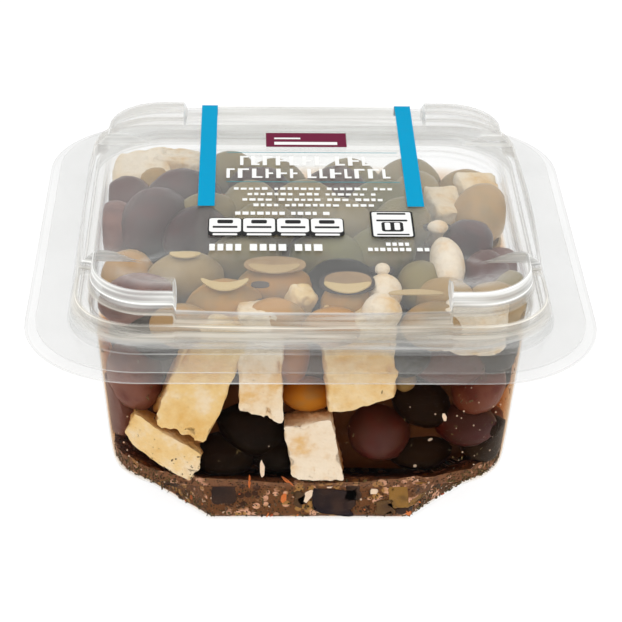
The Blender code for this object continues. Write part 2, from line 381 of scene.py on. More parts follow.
def lid_outline(middle, corner):
    """Outline at one level, with the corner platforms apart from the middles."""
    mid_half, mid_height = middle[:2]
    half, height, radius = corner[:3]
    rise = min(1.0, (mid_height - FLANGE_TOP) / (8 * MM))

    def side_point(along, share):
        ease = share * share * (3 - 2 * share)
        bow = PANEL_BOW * (max(0.0, 1 - (along / LUG_END) ** 2) - 0.8) * rise
        reach = mid_half + (bow if mid_height > FLANGE_TOP + 2 * MM else 0.0)
        return (along, -(reach + (half - reach) * ease), mid_height + (height - mid_height) * ease)

    start = LUG_END - LUG_STEP
    side = [side_point(start * share, 0.0) for share in MIDDLE_SHARES]
    side += [side_point(start + LUG_STEP * share, share) for share in STEP_SHARES]
    straight = half - radius
    line = [(LUG_END + (straight - LUG_END) * share, -half) for share in LINE_SHARES]
    side += [(x, y, height) for x, y in line]
    for step in range(ARC_STEPS + 1):
        angle = math.radians(-90 + 90 * step / ARC_STEPS)
        side.append((straight + radius * math.cos(angle), -straight + radius * math.sin(angle), height))
    side += [(-y, -x, height) for x, y in line[::-1]]
    for share in reversed(STEP_SHARES):
        x, y, z = side_point(start + LUG_STEP * share, share)
        side.append((-y, -x, z))
    return quarter_turns(side)


def lid_rows():
    """Rows of the lid's outside at the middles of its sides and at its corners."""
    sheet = FLANGE_TOP + 0.3 * MM + LID_WALL
    middle = [
        (LID_EDGE_HALF, sheet, 0.0),
        (DOME_HALF, sheet, 0.0),
        (DOME_HALF - 0.6 * MM, sheet + 2.6 * MM, 0.0),
        (DOME_HALF - 1.1 * MM, sheet + 5.6 * MM, 0.0),
        (DOME_HALF - 1.3 * MM, sheet + 7.2 * MM, 0.0),
        (PANEL_HALF + 0.1 * MM, sheet + 8.2 * MM, 0.0),
        (PANEL_HALF - 0.1 * MM, PANEL_TOP - 1.2 * MM, 0.0),
        (PANEL_HALF - 0.5 * MM, PANEL_TOP - 0.4 * MM, 0.0),
        (PANEL_HALF - 1.4 * MM, PANEL_TOP, 0.0),
    ]
    corner = [
        (LID_EDGE_HALF, sheet, FLANGE_CORNER - 2.6 * MM),
        (DOME_HALF, sheet, DOME_CORNER),
        (DOME_HALF - 0.6 * MM, sheet + 2.6 * MM, DOME_CORNER - 0.4 * MM),
        (DOME_HALF - 1.4 * MM, sheet + 5.8 * MM, DOME_CORNER - 0.9 * MM),
        (DOME_HALF - 2.2 * MM, sheet + 7.2 * MM, DOME_CORNER - 1.6 * MM),
        (LUG_HALF + 0.8 * MM, sheet + 7.8 * MM, LUG_CORNER + 0.5 * MM),
        (LUG_HALF, LUG_TOP - 1.6 * MM, LUG_CORNER),
        (LUG_HALF - 0.3 * MM, LUG_TOP - 0.5 * MM, LUG_CORNER - 0.3 * MM),
        (LUG_HALF - 1.2 * MM, LUG_TOP, LUG_CORNER - 1.2 * MM),
    ]
    rise = LUG_TOP - PANEL_TOP
    for step, share in enumerate((0.97, 0.82, 0.55, 0.27, 0.08, 0.0)):
        reach = (3.2 + 2.1 * step) * MM
        middle.append((PANEL_HALF - reach, PANEL_TOP, 0.0))
        corner.append((LUG_HALF - reach, PANEL_TOP + rise * share, LUG_CORNER - 0.75 * reach))
    return middle, corner


def lid_face(drop):
    """Outlines of the lid's outside, or of its inside a wall's thickness lower."""
    middle, corner = lid_rows()
    if drop:
        middle, corner = thickened(middle, drop), thickened(corner, drop)
    outlines = [lid_outline(mid, out)
                for mid, out in zip(softened(middle, 0.6 * MM), softened(corner, 0.6 * MM))]
    edge = outlines[-1]
    outlines += [[Vector((x * share, y * share, z)) for x, y, z in edge] for share in (0.75, 0.5, 0.25)]
    return outlines


def build_lid(finish):
    lid = show("clear_lid", loft(lid_face(0.0)[::-1] + lid_face(LID_WALL)), finish, smooth=45)
    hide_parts("lid")


# Label ----------------------------------------------------------------------

def strip_over_back(name, left, right, front, lift, thickness, finish):
    """A thin strip on the panel that folds down over the back of the dome."""
    back = [row[:2] for row in lid_rows()[0][3:]][::-1]
    low = LABEL_LOW.z
    path = [(front, PANEL_TOP)] + [row for row in back if row[1] > low]
    path = softened(path, 0.7 * MM, 3)
    rows = [(half, height, 0.0) for half, height in path]
    under = thickened(rows, lift)
    over = thickened(rows, lift + thickness)
    bm = bmesh.new()
    ring = [bm.verts.new((left, y, z)) for y, z, _ in under + over[::-1]]
    face = bm.faces.new(ring)
    grown = bmesh.ops.extrude_face_region(bm, geom=[face])["geom"]
    bmesh.ops.translate(bm, vec=(right - left, 0, 0),
                        verts=[item for item in grown if isinstance(item, bmesh.types.BMVert)])
    bmesh.ops.recalc_face_normals(bm, faces=bm.faces)
    return show(name, bm, finish, smooth=30)


def add_patch(bm, left, front, width, depth, layer=0, corner=0.0):
    """One flat printed patch on the panel, with round corners; in millimetres."""
    base = LABEL_HIGH.z - 0.06 * MM + layer * PRINT_LIFT
    points = []
    for turn, (x, y) in enumerate(((1, 0), (1, 1), (0, 1), (0, 0))):
        middle = (left + width * x + corner * (1 - 2 * x), front + depth * y + corner * (1 - 2 * y))
        for step in range(5 if corner else 1):
            angle = math.radians(-90 + 90 * turn + 22.5 * step)
            points.append((middle[0] + corner * math.cos(angle), middle[1] + corner * math.sin(angle)))
    bm.faces.new([bm.verts.new((x * MM, y * MM, base)) for x, y in points])


def raise_print(bm):
    """Give flat printed patches their thickness."""
    bmesh.ops.recalc_face_normals(bm, faces=bm.faces)
    for face in bm.faces:
        if face.normal.z < 0:
            face.normal_flip()
    grown = bmesh.ops.extrude_face_region(bm, geom=list(bm.faces), use_keep_orig=True)["geom"]
    verts = [item for item in grown if isinstance(item, bmesh.types.BMVert)]
    bmesh.ops.translate(bm, vec=(0, 0, PRINT_LIFT * 0.7), verts=verts)
    bmesh.ops.recalc_face_normals(bm, faces=bm.faces)


def word_blocks(chance, left, width, block, gap):
    """Widths and places of upright blocks that fill a line like words do."""
    place = left
    blocks = []
    word = chance.randint(3, 7)
    while place + block < left + width:
        size = block * chance.uniform(0.75, 1.25)
        blocks.append((place, size))
        place += size + gap
        word -= 1
        if word == 0:
            place += gap * 2.2
            word = chance.randint(3, 8)
    return blocks


def print_blocks(bm, chance, front, depth, left, width, block, gap, layer=1):
    """One line of upright blocks of the same height, where small text would stand."""
    for place, size in word_blocks(chance, left, width, block, gap):
        add_patch(bm, place, front, size, depth, layer)


def print_plate(wine, white):
    """Wine-red plate with a short and a long bar."""
    add_patch(wine, -10.6, 29.8, 21.5, 8.5)
    add_patch(white, -8.4, 34.4, 7.0, 0.9, 2)
    add_patch(white, -8.4, 31.0, 16.8, 1.7, 2)


def print_title(white, teal, chance):
    """Two lines of tall stems with a crossbar each, between two thin rules."""
    for front, left, width in ((18.7, -17.5, 37.0), (11.3, -21.0, 45.0)):
        for place, size in word_blocks(chance, left, width, 2.4, 0.8):
            add_patch(white, place, front, size * 0.42, 5.4, 1)
            add_patch(white, place, front + 4.5 * chance.choice((0, 1, 0.5)), size, 0.9, 2)
    for front in (26.2, 9.0):
        add_patch(teal, -21.0, front, 45.0, 0.28, 1)


def print_text(white, chance):
    """Four lines of small blocks and a heading under them."""
    for line, (left, width) in enumerate(((-19.0, 41.0), (-15.5, 34.5), (-16.8, 36.8), (-14.0, 32.0))):
        for place, size in word_blocks(chance, left, width, 1.25, 0.55):
            add_patch(white, place, 4.6 - 3.05 * line, size, 1.35 * chance.uniform(0.8, 1.1), 1)
    print_blocks(white, chance, -9.2, 1.7, -18.6, 24.5, 1.3, 0.5)


def print_boxes(white, black):
    """Four small white boxes in black frames, with a bar above and below."""
    for index in range(4):
        left = -25.0 + 8.45 * index
        add_patch(black, left - 0.3, -20.4, 8.5, 9.6, 0, 1.2)
        add_patch(white, left, -18.4, 7.9, 7.3, 1, 0.9)
        add_patch(white, left + 0.9, -20.1, 6.1, 1.0, 1, 0.3)
        add_patch(black, left + 2.0, -13.9, 3.9, 1.9, 2, 0.5)
        add_patch(black, left + 0.9, -16.3, 6.1, 1.0, 2)


def print_bin(white, black):
    """A framed box with a plain bin between two bars."""
    add_patch(black, 15.2, -20.9, 10.8, 13.9, 0, 0.9)
    add_patch(white, 15.7, -20.4, 9.8, 12.9, 1, 0.6)
    add_patch(black, 17.0, -8.9, 7.2, 0.9, 2)
    add_patch(black, 16.7, -12.5, 7.8, 0.9, 2, 0.3)
    add_patch(black, 17.9, -17.9, 5.4, 5.0, 2, 0.8)
    for left in (18.7, 21.1):
        add_patch(white, left, -17.1, 1.4, 3.8, 3, 0.4)
    add_patch(black, 16.6, -19.8, 8.0, 0.7, 2)


def build_label(film, blue, wine, white, black, teal):
    clear = strip_over_back("label_film", LABEL_LOW.x, LABEL_HIGH.x, LABEL_LOW.y, 0.3 * MM,
                            0.1 * MM, film)
    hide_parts("label")
    for name, left in (("left", LABEL_LOW.x), ("right", LABEL_HIGH.x - BAND_WIDTH)):
        piece = strip_over_back("label_band_" + name, left, left + BAND_WIDTH, BAND_FRONT,
                                0.41 * MM, 0.04 * MM, blue)

    chance = random.Random(5)
    wines, whites, blacks, teals = (bmesh.new() for _ in range(4))
    print_plate(wines, whites)
    print_title(whites, teals, chance)
    print_text(whites, chance)
    print_boxes(whites, blacks)
    print_bin(whites, blacks)
    print_blocks(whites, chance, -28.0, 3.4, -24.8, 28.5, 1.75, 0.65)
    print_blocks(whites, chance, -25.3, 1.7, 18.5, 6.6, 1.2, 0.45)
    print_blocks(whites, chance, -28.0, 1.7, 14.0, 15.2, 1.2, 0.45)
    for name, bm, finish in (("label_plate", wines, wine), ("label_white_print", whites, white),
                             ("label_black_print", blacks, black), ("label_rules", teals, teal)):
        raise_print(bm)
        show(name, bm, finish, smooth=30)


# Contents -------------------------------------------------------------------

BODY_SLOPE = (BODY_HIGH_HALF - BODY_LOW_HALF) / (FLANGE_TOP - FOOT_HEIGHT - 3.8 * MM)
FOOD_GAP = 0.25 * MM


def pressed(point):
    """Flatten a point of food against the tub's walls and the lid."""
    skin = TUB_WALL + FOOD_GAP
    height = min(max(point.z, TUB_LOW.z + skin), LID_UNDER - 0.12 * MM)
    in_foot = height < FOOT_HEIGHT + 1 * MM
    half = FOOT_HALF if in_foot else BODY_LOW_HALF + BODY_SLOPE * (height - FOOT_HEIGHT)
    half -= skin
    corner = BODY_CORNER - skin
    straight = half - corner
    x, y = point.x, point.y
    over_x, over_y = abs(x) - straight, abs(y) - straight
    if over_x > 0 and over_y > 0:
        reach = math.hypot(over_x, over_y)
        if reach > corner:
            over_x, over_y = over_x * corner / reach, over_y * corner / reach
        x = math.copysign(straight + over_x, x)
        y = math.copysign(straight + over_y, y)
    x = max(-half, min(half, x))
    y = max(-half, min(half, y))
    if in_foot:
        limit = 2 * half - FOOT_CUT
        total = abs(x) + abs(y)
        if total > limit:
            x, y = x * limit / total, y * limit / total
    return Vector((x, y, height))


class Pile:
    """Many food pieces of one kind, joined in one mesh."""

    def __init__(self):
        self.bm = bmesh.new()
        self.tone = self.bm.verts.layers.float.new("tone")

    def add(self, shape, centre, turn, tone, press=True):
        """Join one shaped bmesh, placed in millimetres and degrees."""
        place = Matrix.Translation(Vector(centre) * MM) @ Euler(
            [math.radians(angle) for angle in turn]).to_matrix().to_4x4()
        layer = shape.verts.layers.float.new("tone")
        for vert in shape.verts:
            vert.co = place @ vert.co
            if press:
                vert.co = pressed(vert.co)
            vert[layer] = tone
        mesh = bpy.data.meshes.new("joining")
        shape.to_mesh(mesh)
        shape.free()
        self.bm.from_mesh(mesh)
        bpy.data.meshes.remove(mesh)


def feta_block(size, chance, cuts=12, crumble=0.5, front=None):
    """A soft-edged block of crumbly cheese, in millimetres.

    front bends the block so that its near face has these four corners (x, z),
    counter-clockwise from the lower left one.
    """
    bm = bmesh.new()
    bmesh.ops.create_cube(bm, size=1.0)
    bmesh.ops.subdivide_edges(bm, edges=bm.edges, cuts=cuts, use_grid_fill=True)
    half = Vector(size) * 0.5
    edge = 1.1
    shift = Vector((chance.uniform(0, 90), chance.uniform(0, 90), chance.uniform(0, 90)))
    shear = chance.uniform(-0.1, 0.1)
    for vert in bm.verts:
        point = Vector(vert.co[axis] * size[axis] for axis in range(3))
        core = Vector(max(-half[a] + edge, min(half[a] - edge, point[a])) for a in range(3))
        away = point - core
        if away.length > edge:
            point = core + away.normalized() * edge
        outward = away.normalized() if away.length > 0 else Vector((0, 0, 1))
        near_edge = sum(1 for a in range(3) if abs(point[a]) > half[a] - 1.8) >= 2
        rough = noise.noise(point * 0.22 + shift) * 0.9 + noise.noise(point * 0.8 + shift) * 0.6
        chip = max(0.0, noise.noise(point * 0.35 - shift) - 0.18) * (3.2 if near_edge else 0.6)
        point += outward * crumble * (rough - chip * 1.6)
        point.x += shear * point.z
        if front:
            across, up = point.x / size[0] + 0.5, point.z / size[2] + 0.5
            low, high = mixed(front[0], front[1], across), mixed(front[3], front[2], across)
            point.x, point.z = mixed(low, high, up)
        vert.co = point * MM
    return bm


def olive(length, width, chance, wrinkle=0.25, hole=0.3, point=0.12):
    """An olive along its own X axis, with a pitted end."""
    bm = bmesh.new()
    bmesh.ops.create_uvsphere(bm, u_segments=28, v_segments=18, radius=1.0)
    shift = Vector((chance.uniform(0, 90), chance.uniform(0, 90), chance.uniform(0, 90)))
    bend = chance.uniform(-0.08, 0.08)
    for vert in bm.verts:
        along = vert.co.z
        slim = 1.0 - point * along * along
        spot = Vector((along * length / 2, vert.co.x * slim * width / 2, vert.co.y * slim * width / 2))
        spot.y += bend * spot.x * spot.x / 8
        ring = math.hypot(vert.co.x, vert.co.y)
        if hole and along > 0 and ring < hole:
            spot.x -= (1 - (ring / hole) ** 2) * length * 0.22
        outward = Vector((along, vert.co.x, vert.co.y))
        folds = noise.noise(Vector((spot.x * 0.2, spot.y * 0.9, spot.z * 0.9)) + shift)
        spot += outward * wrinkle * (noise.noise(spot * 0.16 + shift) * 1.6 + folds)
        vert.co = spot * MM
    return bm


HEAP_TOP = 65.0
HEAP_DROP = 11.5


def heap_height(y):
    """Rough height of the heap's top, in millimetres: high in front, low behind."""
    behind = max(0.0, (y + 50) / 100 - 0.42)
    return HEAP_TOP - HEAP_DROP * min(1.0, behind / 0.5) ** 0.8


# Feta on the front wall: corners (x, z) from the lower left, depth and tone
FRONT_FETA = (
    (((-46.0, 23.3), (-29.3, 12.4), (-26.2, 20.8), (-42.3, 31.9)), 11, 0.05),
    (((-38.5, 30.4), (-25.4, 25.2), (-12.6, 58.0), (-28.0, 59.4)), 13, 0.0),
    (((-17.4, 34.2), (-7.2, 31.0), (-6.6, 56.2), (-18.0, 55.8)), 5.5, 0.75),
    (((-4.3, 13.3), (8.4, 12.4), (5.4, 31.7), (-6.2, 29.2)), 12, 1.0),
    (((4.4, 32.8), (21.2, 38.0), (19.0, 61.0), (1.8, 60.0)), 12, 0.2),
)
# Feta elsewhere: centre, size, turn and tone
TOP_FETA = (
    ((-45.0, 41.5, 50.5), (17, 12, 11), (12, -6, 12), 0.8),
    ((-33.5, 45.0, 51.0), (15, 11, 10), (-8, 4, -8), 0.9),
    ((-3.2, -40.6, 58.2), (6, 6, 9.5), (16, 10, 20), 0.1),
    ((39.0, -47.0, 56.0), (15, 9, 12), (0, 0, -14), 0.9),
    ((-13.0, -47.5, 55.0), (9, 8, 13), (0, 0, 4), 0.6),
    ((36.0, 18.0, 51.5), (9, 16, 11), (0, 6, 8), 0.6),
    ((46.5, 30.0, 50.0), (12, 13, 11), (10, 10, 20), 0.6),
)
SIDE_FETA = (
    ((-43.5, -22.0, 30.0), (12, 15, 17), (14, 0, 0), 0.2),
    ((-43.0, 12.0, 36.0), (12, 16, 16), (-18, 0, 0), 0.7),
    ((-43.0, 30.0, 22.0), (12, 17, 14), (24, 0, 0), 0.4),
    ((43.0, -12.0, 24.0), (12, 15, 18), (-12, 0, 0), 0.5),
    ((43.5, 10.0, 38.0), (12, 17, 15), (20, 0, 0), 0.8),
    ((43.0, 34.0, 24.0), (12, 14, 17), (8, 0, 0), 0.3),
    ((-24.0, 43.0, 24.0), (17, 12, 15), (0, 16, 0), 0.7),
    ((2.0, 43.0, 38.0), (15, 12, 17), (0, -14, 0), 0.2),
    ((28.0, 43.0, 30.0), (16, 12, 15), (0, 24, 0), 0.6),
    ((-4.0, 43.5, 17.0), (14, 12, 13), (0, -8, 0), 0.9),
)
# Feta squashed on the lid's underside: centre, size, turn and tone
LID_FETA = (
    ((33.8, -25.0, 61.0), (23, 8.6, 8.8), (0, 0, 92), 0.9),
    ((32.4, -10.0, 63.2), (5.4, 4.4, 3.4), (0, 0, 0), 0.95),
    ((17.5, -39.5, 61.2), (12, 8.8, 8.0), (0, 0, 88), 0.8),
    ((17.3, -32.2, 63.4), (4.0, 3.8, 3.0), (0, 0, 0), 0.9),
    ((16.4, -48.0, 60.6), (9.8, 9, 9.0), (0, 0, 0), 0.75),
)
KALAMATA = (
    # centre, length, width, turn, tone
    ((17.2, -41.6, 23.7), 18.6, 16.4, (0, 62, 8), 0.22),
    ((37.6, -41.8, 26.2), 18, 13, (0, 6, -24), 0.12),
    ((33.0, -43.6, 44.6), 20, 13, (0, 4, -6), 0.45),
    ((41.0, -42.4, 36.6), 16, 13, (0, -60, 10), 0.7),
    ((-42.6, -42.6, 40.0), 20, 15, (0, 80, 30), 0.8),
    ((-47.0, -38.0, 29.0), 19, 15, (0, 70, 50), 0.55),
    ((-39.5, 4.0, 56.8), 25, 17, (0, 0, 66), 0.1),
    ((-29.0, -2.5, 57.0), 21, 14, (0, 0, 50), 0.05),
    ((-33.0, 24.0, 54.0), 22, 15, (0, 6, 30), 0.12),
    ((-47.5, 24.0, 52.0), 19, 14, (0, 0, 80), 0.3),
    ((39.8, -9.6, 57.6), 19, 13, (0, 0, 66), 0.02),
    ((43.5, -24.0, 57.4), 15, 12, (0, 0, 75), 0.4),
    ((-12.0, 30.0, 52.5), 19, 14, (0, 0, -30), 0.15),
    ((8.0, 34.0, 50.5), 18, 14, (0, 0, 10), 0.3),
    ((-49.5, 4.0, 55.0), 21, 13, (0, 0, 88), 0.9),
    ((-42.0, -38.0, 58.0), 19, 13, (0, 0, 20), 0.85),
    ((48.5, -14.0, 52.0), 17, 13, (0, 0, 80), 0.7),
)
BLACK = (
    ((-13.5, -41.6, 25.0), 20, 16, (0, 20, 10), 0.1),
    ((-20.5, -41.0, 17.0), 18, 14, (0, -10, 0), 0.2),
    ((-8.5, -41.0, 18.0), 16, 14, (0, 30, 0), 0.1),
    ((27.0, -41.0, 33.0), 20, 15, (0, 50, 0), 0.3),
    ((27.5, -41.0, 17.5), 17, 12, (0, 0, 0), 0.4),
    ((44.0, -40.5, 20.0), 15, 12, (0, 0, 40), 0.5),
    ((7.6, -30.4, 58.2), 19, 13, (0, 0, 4), 0.1),
    ((-37.0, -41.0, 51.0), 17, 14, (0, 30, 0), 0.5),
    ((44.0, -41.0, 48.0), 17, 14, (0, 80, 20), 0.5),
    ((23.0, -46.0, 48.0), 13, 12, (0, 90, 0), 0.3),
    ((-11.6, -43.4, 57.6), 8, 7, (0, 0, 0), 0.4),
)
GREEN = (
    ((-0.8, -44.0, 35.4), 14.5, 9.5, (0, 4, 0), 1.0),
    ((22.8, -46.0, 40.6), 6, 6, (0, 30, 0), 0.35),
    ((-5.0, -43.0, 46.0), 18, 10, (0, 88, 0), 0.93),
    ((-20.9, -40.6, 57.8), 19, 13.4, (0, 0, 10), 0.9),
    ((-30.6, -27.0, 57.6), 20, 13.8, (0, 0, 10), 0.75),
    ((8.6, -41.0, 58.4), 13.5, 12.8, (0, 0, 5), 0.9),
    ((-8.8, -32.0, 57.8), 20, 13, (0, 0, 4), 0.95),
    ((-16.0, -17.0, 57.6), 20, 15, (0, 0, 25), 0.3),
    ((4.6, -18.0, 58.0), 20, 15, (0, 0, -15), 0.12),
    ((18.0, -14.0, 57.6), 20, 15, (0, 0, 30), 0.16),
    ((-12.0, -1.0, 57.2), 20, 15, (0, 0, 40), 0.4),
    ((8.0, 2.0, 57.2), 21, 15, (0, 0, -30), 0.5),
    ((24.0, 2.0, 57.0), 20, 15, (0, 0, 60), 0.3),
    ((20.0, 19.0, 53.6), 20, 15, (0, 0, 15), 0.16),
    ((0.0, 17.0, 54.6), 19, 15, (0, 0, -10), 0.55),
    ((-15.0, 15.0, 55.0), 20, 15, (0, 0, 60), 0.5),
    ((-20.5, 44.0, 51.2), 15, 12, (0, 0, 10), 0.5),
    ((46.0, 15.0, 54.0), 22, 15, (0, 0, 76), 0.85),
    ((44.0, 36.0, 49.0), 18, 14, (0, 0, 20), 0.8),
    ((-8.0, 43.0, 48.4), 18, 14, (0, 0, -6), 0.4),
    ((12.0, 43.5, 48.4), 18, 14, (0, 0, 12), 0.45),
    ((29.0, 43.5, 48.6), 18, 14, (0, 0, -10), 0.5),
    ((30.0, 30.0, 51.0), 19, 14, (0, 0, 70), 0.6),
    ((-26.0, 8.0, 56.4), 18, 13, (0, 0, 15), 0.45),
    ((33.0, -38.0, 57.6), 17, 12, (0, 0, -30), 0.8),
    ((45.0, -39.0, 56.5), 17, 13, (0, 0, -40), 0.8),
    ((-45.0, -25.0, 57.0), 17, 13, (0, 0, 70), 0.9),
    ((-9.0, -46.5, 57.8), 16, 10, (0, 0, 4), 0.95),
    ((5.0, -49.0, 57.0), 15, 10, (0, 0, 0), 1.0),
    ((-31.0, -47.0, 56.0), 16, 11, (0, 0, -8), 0.9),
    ((27.0, -30.0, 57.4), 17, 12, (0, 0, 80), 0.35),
    ((29.5, -47.4, 56.4), 17, 12, (0, 0, 6), 0.85),
    ((49.0, -30.0, 54.0), 19, 13, (0, 0, 84), 0.35),
)
# Spots where food touches the lid from below, and dark spots of painted shade in the hollows around
# them (tone near 0): centre, width, depth, bend, depth below and tone
LID_SPOTS_AND_SHADE = (
    ((-30.7, -27.8), 7.6, 3.0, 0.8, 0.3, 0.9),
    ((-20.9, -42.0), 11.4, 3.8, 3.6, 0.3, 0.95),
    ((-8.8, -32.6), 15.0, 8.2, 0.0, 0.5, 0.5),
    ((-9.0, -34.2), 12.4, 4.0, 2.0, 0.3, 0.72),
    ((8.4, -40.9), 13.4, 11.4, 0.0, 0.7, 0.0),
    ((8.6, -40.7), 11.4, 9.4, 0.0, 0.5, 0.45),
    ((8.4, -43.2), 11.2, 4.2, 2.6, 0.3, 0.95),
    ((17.3, -31.2), 6.2, 4.4, 0.0, 2.6, 0.0),
    ((32.4, -8.6), 7.2, 4.6, 0.0, 2.8, 0.0),
    ((24.5, -46.4), 13.0, 2.4, -0.6, 0.3, 0.8),
    ((-12.4, -42.4), 4.4, 3.0, 0.0, 0.5, 0.1),
)


WALL_COURSES = (17.0, 31.0, 44.5)
OLIVES_ROUND = 18
WALL_REACH = 43.5


def wall_fill(chance):
    """Olives for the side and back walls, in loose courses round the tub."""
    rows = []
    for level in WALL_COURSES:
        for step in range(OLIVES_ROUND):
            angle = math.tau * (step + chance.uniform(-0.3, 0.3)) / OLIVES_ROUND
            x, y = WALL_REACH * math.cos(angle), WALL_REACH * math.sin(angle)
            stretch = min(WALL_REACH / max(abs(x), abs(y)), 1.25)
            x, y = x * stretch, y * stretch
            if y < -36:
                continue
            rows.append(((x, y, level + chance.uniform(-4, 4)), chance.uniform(16, 21),
                         chance.uniform(13, 16), tuple(chance.uniform(-90, 90) for _ in range(3)),
                         chance.random()))
    return rows


def build_food(feta, kalamata, black, green):
    chance = random.Random(21)
    piles = {name: Pile() for name in ("feta_cubes", "kalamata_olives", "black_olives", "green_olives")}
    for corners, depth, tone in FRONT_FETA:
        block = feta_block((15, depth, 18), chance, 20, 0.75, corners)
        piles["feta_cubes"].add(block, (0, -51.5 + depth / 2, 0), (0, 0, 0), tone)
    for centre, size, turn, tone in TOP_FETA + SIDE_FETA:
        piles["feta_cubes"].add(feta_block(size, chance), centre, turn, tone)
    for centre, size, turn, tone in LID_FETA:
        lump = olive(size[0], size[1], chance, 0.1, 0.0, 0.05)
        bmesh.ops.scale(lump, vec=(1, 1, size[2] / size[1]), verts=lump.verts)
        piles["feta_cubes"].add(lump, centre, turn, tone)
    for name, rows, wrinkle in (("kalamata_olives", KALAMATA, 0.3), ("black_olives", BLACK, 0.3),
                                ("green_olives", GREEN, 0.15)):
        for centre, length, width, turn, tone in rows:
            piles[name].add(olive(length, width, chance, wrinkle), centre, turn, tone)
    for centre, length, width, turn, tone in wall_fill(chance):
        name = ("kalamata_olives", "black_olives", "green_olives")[int(chance.random() * 2.99)]
        piles[name].add(olive(length, width, chance), centre, turn, tone)
    finishes = {"feta_cubes": feta, "kalamata_olives": kalamata, "black_olives": black,
                "green_olives": green}
    for name, pile in piles.items():
        show(name, pile.bm, finishes[name], smooth=60)


def cavity_outline(height, inset):
    """Outline of the tub's inside at a height, drawn in by an inset."""
    rows = thickened(tub_rows(), TUB_WALL + inset)[:8]
    for below, above in zip(rows, rows[1:]):
        if height <= above[1]:
            share = max(0.0, (height - below[1]) / (above[1] - below[1]))
            half, _, corner, cut = mixed(below, above, share)
            return square_outline(half, height, corner, cut)
    half, _, corner, cut = rows[-1]
    return square_outline(half, height, corner, cut)


def cavity_stack(levels, inset):
    return [cavity_outline(level, inset) for level in levels]


SPOT_POINTS = 28


def build_lid_spots_and_shade(finish):
    """Pale spots where food touches the lid from below, and dark spots of painted shade around them."""
    pile = Pile()
    for (x, y), width, depth, bend, below, tone in LID_SPOTS_AND_SHADE:
        bm = bmesh.new()
        ring = []
        for step in range(SPOT_POINTS):
            angle = math.tau * step / SPOT_POINTS
            along = math.cos(angle)
            across = math.copysign(abs(math.sin(angle)) ** 0.8, math.sin(angle)) * depth / 2
            across += bend * along * along - bend / 2
            ring.append(bm.verts.new(Vector((along * width / 2, across, 0)) * MM))
        face = bm.faces.new(ring)
        grown = bmesh.ops.extrude_face_region(bm, geom=[face])["geom"]
        bmesh.ops.translate(bm, vec=(0, 0, -0.3 * MM),
                            verts=[item for item in grown if isinstance(item, bmesh.types.BMVert)])
        bmesh.ops.recalc_face_normals(bm, faces=bm.faces)
        pile.add(bm, (x, y, LID_UNDER / MM + 0.2 - below), (0, 0, 0), tone, press=False)
    show("lid_contact_spots_and_shade", pile.bm, finish, smooth=40)


CORE_INSET = 7 * MM
CORE_DEPTH = 11.0


def build_core(finish):
    """Dark inner body that the food pieces lie on: the oil's brown and painted shade deep between the
    pieces.
    """
    low, high = 11.5 * MM, 50 * MM
    levels = [low + (high - low) * step / 24 for step in range(25)]
    bm = loft(cavity_stack(levels, CORE_INSET))
    for vert in bm.verts:
        share = (vert.co.z - low) / (high - low)
        top = (heap_height(vert.co.y / MM) - CORE_DEPTH) * MM
        vert.co.z = low + (top - low) * share
        shift = noise.noise(vert.co * 90) * 2.2 * MM
        vert.co.x += math.copysign(shift, vert.co.x)
        vert.co.y += math.copysign(shift, vert.co.y)
    core = show("salad_core_and_shade", bm, finish, smooth=60)
    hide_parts("salad_heap")


def build_marinade(finish):
    """The oil: it reaches a little into the tub wall, so that no air gap shows."""
    reach = -0.3 * MM
    low = TUB_LOW.z + TUB_WALL + reach
    levels = [low, 3 * MM, FOOT_HEIGHT - 0.3 * MM, FOOT_HEIGHT + 0.6 * MM, FOOT_HEIGHT + 1.2 * MM,
              FOOT_HEIGHT + 2.2 * MM, 20 * MM, 32 * MM, 42 * MM, OIL_LEVEL]
    marinade = show("marinade", loft(cavity_stack(levels, reach)), finish, smooth=50)
    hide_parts("marinade")


# Herbs and spices -----------------------------------------------------------

# Bits that lie against the front wall: centre and size, in millimetres
WALL_PEPPERS = (
    ((-6.3, -48.9, 7.0), (3.0, 1.6, 3.4)),
    ((32.5, -48.3, 10.4), (3.2, 1.6, 3.0)),
    ((25.4, -48.3, 2.2), (2.6, 1.6, 1.8)),
    ((-14.8, -49.4, 12.0), (5.0, 1.0, 0.6)),
    ((-5.2, -49.4, 12.2), (5.4, 1.0, 0.6)),
    ((39.0, -45.0, 5.0), (1.6, 1.2, 1.6)),
    ((-31.0, -46.0, 4.0), (1.5, 1.2, 1.2)),
)
WALL_SEEDS = (
    ((32.5, -50.6, 32.5), (3.0, 1.2, 1.0)),
    ((-26.6, -48.7, 7.2), (1.6, 1.4, 1.9)),
    ((-0.6, -48.7, 7.2), (2.4, 1.4, 6.2)),
    ((5.2, -48.9, 10.6), (4.0, 1.2, 1.6)),
    ((33.2, -48.5, 7.2), (3.8, 1.4, 2.2)),
    ((-11.7, -49.8, 16.2), (6.0, 1.4, 3.0)),
    ((16.2, -48.7, 9.0), (2.0, 1.2, 3.4)),
    ((29.4, -50.4, 25.6), (1.6, 1.0, 0.9)),
    ((26.0, -50.2, 17.4), (1.8, 1.0, 0.9)),
    ((13.6, -50.8, 40.7), (1.2, 0.8, 1.2)),
)
